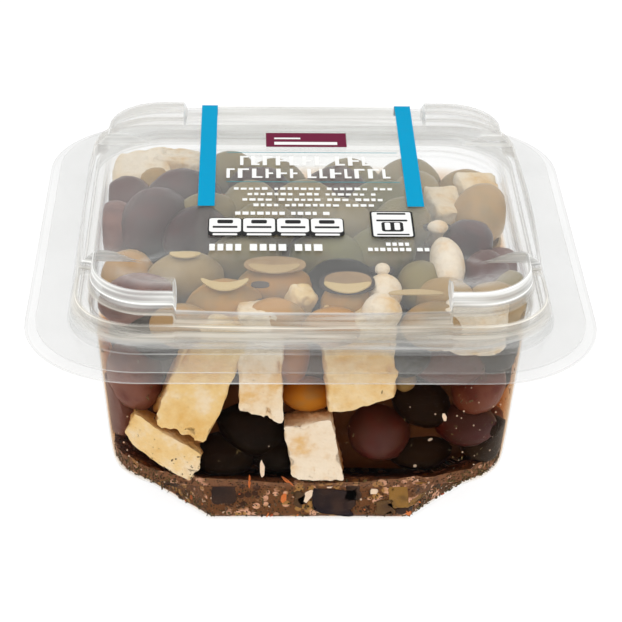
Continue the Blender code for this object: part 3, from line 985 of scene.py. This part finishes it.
# Scraps among the herbs: centre, size and tone
FOOT_PIECES = (
    ((-21.2, -48.2, 8.2), (5.8, 4, 6.0), 0.05),
    ((-2.4, -48.2, 6.7), (2.6, 4, 4.8), 0.25),
    ((6.2, -48.2, 5.9), (10.9, 4, 7.6), 0.0),
    ((10.9, -48.0, 9.0), (3.9, 4, 5.2), 0.1),
    ((25.2, -47.0, 7.7), (11.8, 4, 7.4), 0.95),
    ((19.2, -48.0, 4.3), (5.2, 4, 4.4), 0.5),
    ((23.8, -46.8, 3.0), (4.3, 3, 1.8), 0.1),
    ((-36.0, -38.0, 6.0), (6.0, 5, 4.0), 0.2),
    ((36.0, -39.5, 6.0), (5.0, 5, 4.0), 0.5),
    ((45.0, -20.0, 5.0), (4, 9, 5), 0.6),
    ((-45.5, 4.0, 6.0), (4, 10, 5), 0.4),
    ((-10.0, 46.6, 5.6), (10, 4, 5), 0.8),
    ((18.0, 46.6, 6.0), (8, 4, 5), 0.2),
)


def bed_height(x, y):
    """Top of the settled herbs against the wall: higher towards the corners, in millimetres."""
    return 12.1 + 4.5 * (min(abs(x), abs(y)) / 45) ** 2


BED_TOP = 13.5


def build_herb_bed(finish):
    """Rough hollow-topped bed that fills the foot."""
    low = (TUB_LOW.z + TUB_WALL) / MM + 0.1
    levels = [(low + (BED_TOP - low) * step / 12) * MM for step in range(13)]
    outlines = cavity_stack(levels, 0.25 * MM)
    outlines += [cavity_outline(level * MM, inset * MM) for level, inset in ((12, 3), (9, 7), (7, 11))]
    bm = loft(outlines)
    bmesh.ops.subdivide_edges(bm, edges=[e for e in bm.edges if e.calc_length() > 3 * MM], cuts=2)
    for vert in bm.verts:
        x, y, z = vert.co / MM
        lump = noise.noise(vert.co * 420) * 0.4 + noise.noise(vert.co * 1100) * 0.2
        if z > FOOT_HEIGHT / MM:
            share = (z - FOOT_HEIGHT / MM) / (BED_TOP - FOOT_HEIGHT / MM)
            ragged = noise.noise(Vector((x, y, 0)) * 0.35) * 1.1
            z += share * (bed_height(x, y) + ragged - BED_TOP)
        inward = Vector((x, y, 0)).normalized() * max(0.0, lump)
        vert.co = Vector((x - inward.x, y - inward.y, z)) * MM
    bed = show("herb_bed", bm, finish, smooth=60)
    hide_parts("herb_layer")


def on_foot_wall(chance, low, high, inset):
    """A point just inside the tub's wall near its foot, in millimetres."""
    height = chance.uniform(low, high) * MM
    outline = cavity_outline(height, inset * MM)
    index = chance.randrange(len(outline))
    point = outline[index].lerp(outline[(index + 1) % len(outline)], chance.random())
    return point / MM


def add_flake(pile, spot, size, chance, thick=0.18, stretch=2.4):
    """A thin bent leaf or flake, turned any way; size is its width in millimetres."""
    bm = bmesh.new()
    bmesh.ops.create_cube(bm, size=1.0)
    taper = chance.uniform(0.2, 0.8)
    bend = chance.uniform(-0.4, 0.4)
    for vert in bm.verts:
        wide = size * (taper if vert.co.x > 0 else 1.0)
        vert.co = Vector((vert.co.x * size * stretch, vert.co.y * wide + bend * size * (vert.co.x > 0),
                          vert.co.z * thick)) * MM
    turn = tuple(chance.uniform(-180, 180) for _ in range(3))
    pile.add(bm, spot, turn, chance.random())


def add_chunk(pile, spot, size, chance, tone=None):
    """A seed, grain or chip with an uneven surface; size in millimetres."""
    bm = bmesh.new()
    bmesh.ops.create_icosphere(bm, subdivisions=1, radius=0.5)
    for vert in bm.verts:
        vert.co = Vector(vert.co[axis] * size[axis] * chance.uniform(0.85, 1.15)
                         for axis in range(3)) * MM
    turn = tuple(chance.uniform(-180, 180) for _ in range(3))
    pile.add(bm, spot, turn, chance.random() if tone is None else tone)


def wall_spots(chance, count, low, high, *insets):
    """Places just inside the tub's wall, between two heights, at one of these insets."""
    for _ in range(count):
        inset = chance.choice(insets) if len(insets) > 1 else insets[0]
        yield on_foot_wall(chance, low, high, inset)


def scatter_bed(chance, leaves, grains, peppers, seeds):
    """Bits that lie in the settled herbs, with the largest ones in their own places."""
    for spot in wall_spots(chance, 2200, 1.0, 12.6, 0.3, 0.4, 0.5, 0.6):
        add_flake(leaves, spot, chance.uniform(0.25, 0.8), chance)
    for spot in wall_spots(chance, 500, 11.0, 15.5, 0.15, 0.3):
        if spot.z < bed_height(spot.x, spot.y):
            add_flake(leaves, spot, chance.uniform(0.2, 0.5), chance)
    for spot in wall_spots(chance, 900, 1.0, 12.0, 0.3, 0.4):
        size = chance.uniform(0.3, 1.2)
        add_chunk(grains, spot, (size, size * 0.8, size * 0.7), chance)
    for spot in wall_spots(chance, 110, 1.2, 10.5, 0.5):
        add_flake(peppers, spot, chance.uniform(0.4, 1.0), chance, 0.3, 1.5)
    for spot, size in WALL_PEPPERS:
        add_chunk(peppers, spot, size, chance, 0.7)
    for spot in wall_spots(chance, 240, 1.5, 12.0, 0.5):
        add_chunk(seeds, spot, (1.3, 0.8, 0.5), chance)
    for spot, size in WALL_SEEDS:
        add_chunk(seeds, spot, size, chance, 1.0)


def scatter_oil(chance, leaves, grains, seeds):
    """Flecks that float in the oil against the walls, and grains on the left front cube."""
    for spot in wall_spots(chance, 320, 12.5, 50.0, 0.3):
        add_flake(leaves, spot, chance.uniform(0.15, 0.42), chance)
    for _ in range(44):
        spot = Vector((chance.uniform(-41, -27), -50.5, 12 + 9 * chance.random() ** 2))
        size = chance.uniform(0.3, 1.0)
        add_chunk(grains, spot, (size, size * 0.6, size * 0.7), chance, 0.2)
    for spot in wall_spots(chance, 140, 12.5, 42.0, 0.3):
        size = chance.uniform(0.25, 0.6)
        add_chunk(seeds, spot, (size, size, size), chance, 0.6)


def build_herbs(leaf, pepper, seed, grain):
    chance = random.Random(8)
    leaves, peppers, seeds, grains = (Pile() for _ in range(4))
    scatter_bed(chance, leaves, grains, peppers, seeds)
    scatter_oil(chance, leaves, grains, seeds)
    for name, pile, finish in (("herb_leaves", leaves, leaf), ("pepper_flakes", peppers, pepper),
                               ("seeds", seeds, seed), ("spice_grains", grains, grain)):
        show(name, pile.bm, finish, smooth=40)


def build_foot_pieces(finish):
    """Olive scraps that lie among the herbs."""
    chance = random.Random(14)
    pile = Pile()
    for centre, size, tone in FOOT_PIECES:
        pile.add(feta_block(size, chance, 8, 0.7), centre, (0, chance.uniform(-8, 8), 0), tone)
    show("olive_scraps", pile.bm, finish, smooth=60)


# Finishes -------------------------------------------------------------------

# A sheet by height: millimetres, veil on level parts, veil on steep parts and grey of the veil.
# The level veil is the sheet's own haze. The steep veil is partly haze and partly painted light on the
# walls that slope towards the camera and the lamps. Thin rows of a strong pale or dark veil are painted
# highlights and painted dark lines along the bends, where the real sheet shows reflections.
SHEET_LOW = 50.0
SHEET_SPAN = 19.5
TUB_VEIL_AND_PAINTED_LINES = (
    (51.9, 0.01, 0.002, 0.46), (52.2, 0.04, 0.24, 0.20), (52.5, 0.085, 0.04, 0.33),
    (53.3, 0.085, 0.04, 0.28), (53.6, 0.085, 0.45, 0.85), (53.9, 0.085, 0.05, 0.28),
    (55.2, 0.09, 0.05, 0.30), (55.6, 0.10, 0.36, 0.80), (55.9, 0.10, 0.12, 0.50),
    (57.0, 0.10, 0.12, 0.48), (57.2, 0.10, 0.30, 0.30), (57.5, 0.10, 0.12, 0.48),
    (58.0, 0.10, 0.12, 0.50), (58.3, 0.10, 0.45, 0.85), (58.7, 0.10, 0.12, 0.50),
)
LID_VEIL_AND_PAINTED_LINES = (
    (54.6, 0.035, 0.06, 0.30), (54.9, 0.035, 0.35, 0.85), (55.2, 0.035, 0.08, 0.35),
    (57.0, 0.03, 0.24, 0.60), (58.5, 0.03, 0.33, 0.64), (60.2, 0.03, 0.33, 0.64),
    (60.4, 0.03, 0.42, 0.34), (60.7, 0.03, 0.34, 0.64), (61.4, 0.03, 0.34, 0.64),
    (61.6, 0.03, 0.55, 0.92), (61.9, 0.04, 0.36, 0.64), (63.2, 0.05, 0.36, 0.62),
    (63.4, 0.05, 0.50, 0.32), (63.7, 0.05, 0.36, 0.62), (64.8, 0.05, 0.36, 0.62),
    (65.0, 0.05, 0.60, 0.32), (65.2, 0.05, 0.45, 0.64), (65.5, 0.05, 0.80, 0.95),
    (65.8, 0.05, 0.62, 0.72), (66.5, 0.05, 0.72, 0.74), (68.1, 0.05, 0.72, 0.74),
    (68.3, 0.05, 0.85, 0.92), (68.7, 0.06, 0.55, 0.72),
)



def clear_plastic(name, sheet):
    """Thin clear sheet with a grey veil that follows its height, its slope and soft streaks. The veil
    is the sheet's haze with painted light in it: painted highlights and dark lines at the bends,
    painted light on steep walls, greying where the sheet is edge-on and streaks of painted reflection.
    """
    make = Finish(name)
    height = make.height()
    # The table's grey carries the painted highlight and dark lines at the bends.
    stops = [((place - SHEET_LOW) / SHEET_SPAN, parts) for place, *parts in sheet]
    profile = make.ramp((height / MM - SHEET_LOW) / SHEET_SPAN, *stops)
    level, steep, grey = (make.node("ShaderNodeSeparateColor", {}, profile, output=part)
                          for part in range(3))
    normal = make.node("ShaderNodeNewGeometry", {}, output="Normal")
    flat = make.node("ShaderNodeSeparateXYZ", {}, normal, output=2).maths("ABSOLUTE").above(0.75, 0.3)
    depth = make.node("ShaderNodeSeparateXYZ", {}, make.place, output=1)
    front = 1.0 - depth.above(15 * MM, 90 * MM) * 0.6
    # Soft streaks that vary the veil's amount and grey: painted reflection.
    stretched = make.node("ShaderNodeMapping", {}, make.place, (0, 0, 0), (0, 0, 0), (1, 1, 22))
    painted_reflection_streaks = make.noise(40, 1, place=stretched)
    veil = steep * front
    veil = (flat * (level - veil) + veil) * (painted_reflection_streaks.above(0.5, 0.5) * 0.9 + 0.55)
    # The veil grows where the sheet is seen edge-on: partly the longer path through its haze, partly
    # painted shade that draws the bends as grey lines.
    edge_on_haze_and_shade = make.facing() ** 4 * (height.above(50 * MM, 4 * MM) * 0.33 + 0.07)
    tone = (painted_reflection_streaks.above(0.5, 0.4) - 0.5) * front * 0.25 + grey
    oily = height.above(58 * MM, 2 * MM) * (1.0 - height.above(64 * MM, 2 * MM))
    tint = make.node("ShaderNodeCombineColor", {}, tone, tone * (1.0 - oily * 0.05),
                     tone * (0.97 - oily * 0.13))
    haze = make.principled(tint, 0.3, Specular_IOR_Level=0.2)
    clear = make.node("ShaderNodeBsdfTransparent", {}, Color=(0.985, 0.986, 0.985, 1))
    shine = make.node("ShaderNodeBsdfGlossy", {}, Color=(1, 1, 1, 1), Roughness=0.06)
    body = make.mix((veil + edge_on_haze_and_shade).held(), clear, haze)
    gloss = height.above(53 * MM, 2 * MM) * 0.38
    return make.end(make.mix(make.mirror(gloss), body, shine))


def film_plastic():
    """Clear label film, a little duller than the sheet under it."""
    make = Finish("print_film")
    clear = make.node("ShaderNodeBsdfTransparent", {}, Color=(0.985, 0.985, 0.98, 1))
    gloss = make.node("ShaderNodeBsdfGlossy", {}, Color=(1, 1, 1, 1), Roughness=0.15)
    veil = make.principled((0.85, 0.83, 0.78), 0.4)
    return make.end(make.mix(make.mirror(0.1), make.mix(0.015, clear, veil), gloss))


def ink(name, colour, shade):
    """Dull print of one colour that drifts to a shade of itself."""
    make = Finish(name)
    drift = make.noise(400, 3)
    tint = make.blend(drift, colour, tuple(part * shade for part in colour))
    return make.end(make.principled(tint, drift * 0.1 + 0.45, Specular_IOR_Level=0.02))


def marinade_oil():
    """Brown clear oil. Only its free top shines, as its sides wet the tub."""
    make = Finish("seasoned_oil")
    clear = make.node("ShaderNodeBsdfTransparent", {}, Color=(1, 1, 1, 1))
    gloss = make.node("ShaderNodeBsdfGlossy", {}, Color=(1, 0.93, 0.8, 1), Roughness=0.1)
    tint = make.node("ShaderNodeVolumeAbsorption", {}, Color=(0.75, 0.5, 0.22, 1), Density=170.0)
    free = make.height().above(OIL_LEVEL - 0.3 * MM, 0.4 * MM)
    return make.end(make.mix(make.mirror(0.15) * free, clear, gloss), tint)


def feta_cheese():
    """Crumbly cheese with oil-soaked and chalky patches and small brown specks."""
    make = Finish("feta_cheese")
    tone = make.attribute("tone")
    broad = make.noise(85, 4, 0.65)
    crumbs = make.noise(420, 4, 0.7)
    pits = make.cells(700)
    base = make.blend(tone, (0.86, 0.63, 0.30), (0.90, 0.78, 0.62))
    soaked = make.blend(broad.above(0.58, 0.22) * 0.8, base, (0.76, 0.44, 0.11))
    chalky = make.blend((1.0 - broad.above(0.42, 0.16)) * 0.6, soaked, (0.93, 0.84, 0.70))
    rough = make.blend(crumbs.above(0.62, 0.2) * 0.35, chalky, (0.70, 0.47, 0.22))
    specks = make.blend(pits.above(0.07, 0.04), (0.60, 0.38, 0.18), rough)
    relief = crumbs + pits * 0.5
    return make.end(make.principled(specks, broad * 0.2 + 0.42, make.bump(relief, 0.8, 0.6 * MM),
                                    Specular_IOR_Level=0.1))


def olive_skin(name, dark, middle, light, flush, shine=0.12):
    """An olive's skin between three tones, flushed in broad patches."""
    make = Finish(name)
    broad = make.noise(120, 3, 0.55)
    base = make.ramp(make.attribute("tone"), (0.0, dark), (0.75, middle), (1.0, light))
    mottled = make.blend(broad.above(0.56, 0.22) * 0.7, base, flush)
    relief = make.noise(150, 2, 0.5)
    return make.end(make.principled(mottled, broad * 0.15 + 0.25, make.bump(relief, 0.25, 0.6 * MM),
                                    Specular_IOR_Level=shine))


def lid_cheese_and_shade():
    """Food squashed on the lid, from painted shade in the hollows around it to oily cheese."""
    make = Finish("lid_contact_spots_and_shade")
    tone = make.attribute("tone") + make.noise(300, 3) * 0.2 - 0.1
    # Tones up to 0.25 are near black: painted shade in the hollows between the food and the lid.
    tint = make.ramp(tone, (0.0, (0.03, 0.02, 0.016)), (0.25, (0.10, 0.06, 0.035)),
                     (0.5, (0.40, 0.26, 0.13)), (1.0, (0.66, 0.50, 0.24)))
    return make.end(make.principled(tint, 0.35, Specular_IOR_Level=0.1))


def bed_of_herbs():
    """Settled herbs: dark, tan and pink patches, brown lumps and black flecks."""
    make = Finish("herb_bed")
    broad = make.noise(75, 4, 0.6)
    lumps = make.cells(420)
    fine = make.cells(1300)
    high = make.height().above(10.5 * MM, 2.5 * MM)
    base = make.ramp(broad, (0.42, (0.05, 0.022, 0.012)), (0.47, (0.26, 0.12, 0.05)),
                     (0.53, (0.78, 0.44, 0.30)), (0.58, (0.38, 0.20, 0.06)))
    stones = make.blend(lumps.above(0.42, 0.1), base, (0.15, 0.06, 0.022))
    settled = make.blend(high * 0.35, stones, (0.30, 0.15, 0.09))
    flecks = make.blend(fine.above(0.3, 0.12), (0.03, 0.02, 0.01), settled)
    return make.end(make.principled(flecks, 0.5, make.bump(make.noise(900, 4), 0.6, 0.5 * MM),
                                    Specular_IOR_Level=0.1))


def dry_bits(name, first, second, roughness=0.5):
    """Leaves, seeds or grains between two colours, by each bit's own tone."""
    make = Finish(name)
    tone = make.attribute("tone")
    grain = make.noise(1500, 2)
    tint = make.blend((tone * 0.8 + grain * 0.4).held(), first, second)
    return make.end(make.principled(tint, grain * 0.2 + roughness, make.bump(grain, 0.3, 0.1 * MM),
                                    Specular_IOR_Level=0.15))


def core_oil_and_shade():
    """What shows in the gaps between the pieces of food: dark brown, partly the oil's own colour and
    partly painted shade for the dim depth.
    """
    make = Finish("salad_core_and_shade")
    broad = make.noise(90, 4)
    tint = make.blend(broad, (0.05, 0.028, 0.015), (0.16, 0.09, 0.05))
    return make.end(make.principled(tint, 0.5, make.bump(broad, 0.4, 2 * MM), Specular_IOR_Level=0.1))


# Scene ----------------------------------------------------------------------

FLOOR_GLOW = 0.93
LAMP_AIM = Vector((0, 0, 0.03))
# Soft lamps: name, place, size and power
LAMPS = (
    ("key", (-0.5, -0.5, 0.9), 0.6, 2.2),
    ("fill", (0.7, -0.5, 0.6), 0.7, 1.0),
)


def build_floor():
    """Pale floor that glows a little, so that it stays white under the pack."""
    make = Finish("pale_floor")
    drift = make.noise(3, 2)
    tint = make.blend(drift, (0.14, 0.14, 0.14), (0.16, 0.16, 0.16))
    glow = {"Emission_Color": (1, 1, 1, 1), "Emission_Strength": FLOOR_GLOW}
    material = make.end(make.principled(tint, 0.8, **glow, Specular_IOR_Level=0.05))
    bm = bmesh.new()
    bmesh.ops.create_grid(bm, x_segments=1, y_segments=1, size=3.0)
    bmesh.ops.translate(bm, vec=(0, 0, CAD_BOX[0][2] - 0.02 * MM), verts=bm.verts)
    mesh = bpy.data.meshes.new("floor")
    bm.to_mesh(mesh)
    bm.free()
    mesh.materials.append(material)
    floor = bpy.data.objects.new("floor", mesh)
    bpy.context.scene.collection.objects.link(floor)
    floor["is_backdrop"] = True


def build_light():
    world = bpy.data.worlds.new("studio")
    bpy.context.scene.world = world
    world.use_nodes = True
    background = world.node_tree.nodes["Background"]
    background.inputs["Color"].default_value = (1, 1, 1, 1)
    background.inputs["Strength"].default_value = 1.0
    for name, spot, size, power in LAMPS:
        data = bpy.data.lights.new(name, "AREA")
        data.size = size
        data.energy = power
        lamp = bpy.data.objects.new(name, data)
        lamp.location = spot
        lamp.rotation_euler = (LAMP_AIM - Vector(spot)).to_track_quat("-Z", "Y").to_euler()
        bpy.context.scene.collection.objects.link(lamp)


CAMERA_PITCH = math.radians(30.154)
CAMERA_TURN = math.radians(-1.887)
CAMERA_ROLL = math.radians(1.118)
CAMERA_DISTANCE = 0.5803
CAMERA_AIM = Vector((1.22, -0.04, 32.92)) * MM
CAMERA_LENS = 128.07


def build_camera():
    """Camera in front of the pack, a little above it, with plain display colours."""
    data = bpy.data.cameras.new("camera")
    data.lens = CAMERA_LENS
    data.sensor_width = 36
    data.clip_start = 0.01
    camera = bpy.data.objects.new("camera", data)
    away = Vector((0, -math.cos(CAMERA_PITCH), math.sin(CAMERA_PITCH)))
    away.rotate(Euler((0, 0, CAMERA_TURN)))
    camera.location = CAMERA_AIM + away * CAMERA_DISTANCE
    level = (-away).to_track_quat("-Z", "Y").to_matrix()
    camera.rotation_euler = (level @ Matrix.Rotation(CAMERA_ROLL, 3, "Z")).to_euler()
    scene = bpy.context.scene
    scene.collection.objects.link(camera)
    scene.camera = camera
    scene.view_settings.view_transform = "Standard"
    scene.cycles.transparent_max_bounces = 32
    scene.cycles.max_bounces = 6
    scene.cycles.diffuse_bounces = 3


def main():
    build_tub(clear_plastic("tub_plastic", TUB_VEIL_AND_PAINTED_LINES))
    build_lid(clear_plastic("lid_plastic", LID_VEIL_AND_PAINTED_LINES))
    build_label(
        film_plastic(),
        ink("blue_ink", (0.0, 0.30, 0.53), 1.08),
        ink("wine_ink", (0.145, 0.014, 0.042), 1.1),
        ink("white_ink", (0.88, 0.88, 0.86), 0.96),
        ink("black_ink", (0.02, 0.02, 0.02), 1.5),
        ink("teal_ink", (0.05, 0.28, 0.33), 1.2),
    )
    build_core(core_oil_and_shade())
    build_food(
        feta_cheese(),
        olive_skin("kalamata_skin", (0.030, 0.009, 0.011), (0.17, 0.06, 0.04), (0.24, 0.10, 0.07),
                   (0.080, 0.010, 0.009)),
        olive_skin("black_skin", (0.004, 0.003, 0.0025), (0.03, 0.016, 0.008), (0.05, 0.026, 0.012),
                   (0.012, 0.006, 0.004), 0.03),
        olive_skin("green_skin", (0.15, 0.15, 0.045), (0.40, 0.29, 0.14), (0.52, 0.23, 0.02),
                   (0.30, 0.21, 0.09)),
    )
    build_lid_spots_and_shade(lid_cheese_and_shade())
    build_marinade(marinade_oil())
    build_herb_bed(bed_of_herbs())
    build_herbs(
        dry_bits("herb_leaf", (0.016, 0.014, 0.006), (0.14, 0.10, 0.035)),
        dry_bits("pepper_flake", (0.35, 0.04, 0.015), (0.75, 0.22, 0.05), 0.35),
        dry_bits("seed_shell", (0.40, 0.24, 0.15), (0.85, 0.68, 0.52)),
        dry_bits("spice_grain", (0.012, 0.009, 0.007), (0.20, 0.11, 0.06)),
    )
    build_foot_pieces(olive_skin("scrap_skin", (0.010, 0.005, 0.008), (0.21, 0.11, 0.035),
                                 (0.29, 0.15, 0.032), (0.05, 0.025, 0.015)))
    build_floor()
    build_light()
    build_camera()


main()
sizes = {name: [list(map(float, corner)) for corner in box]
         for name, box in (("cad", CAD_BOX), ("visual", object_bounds()))}
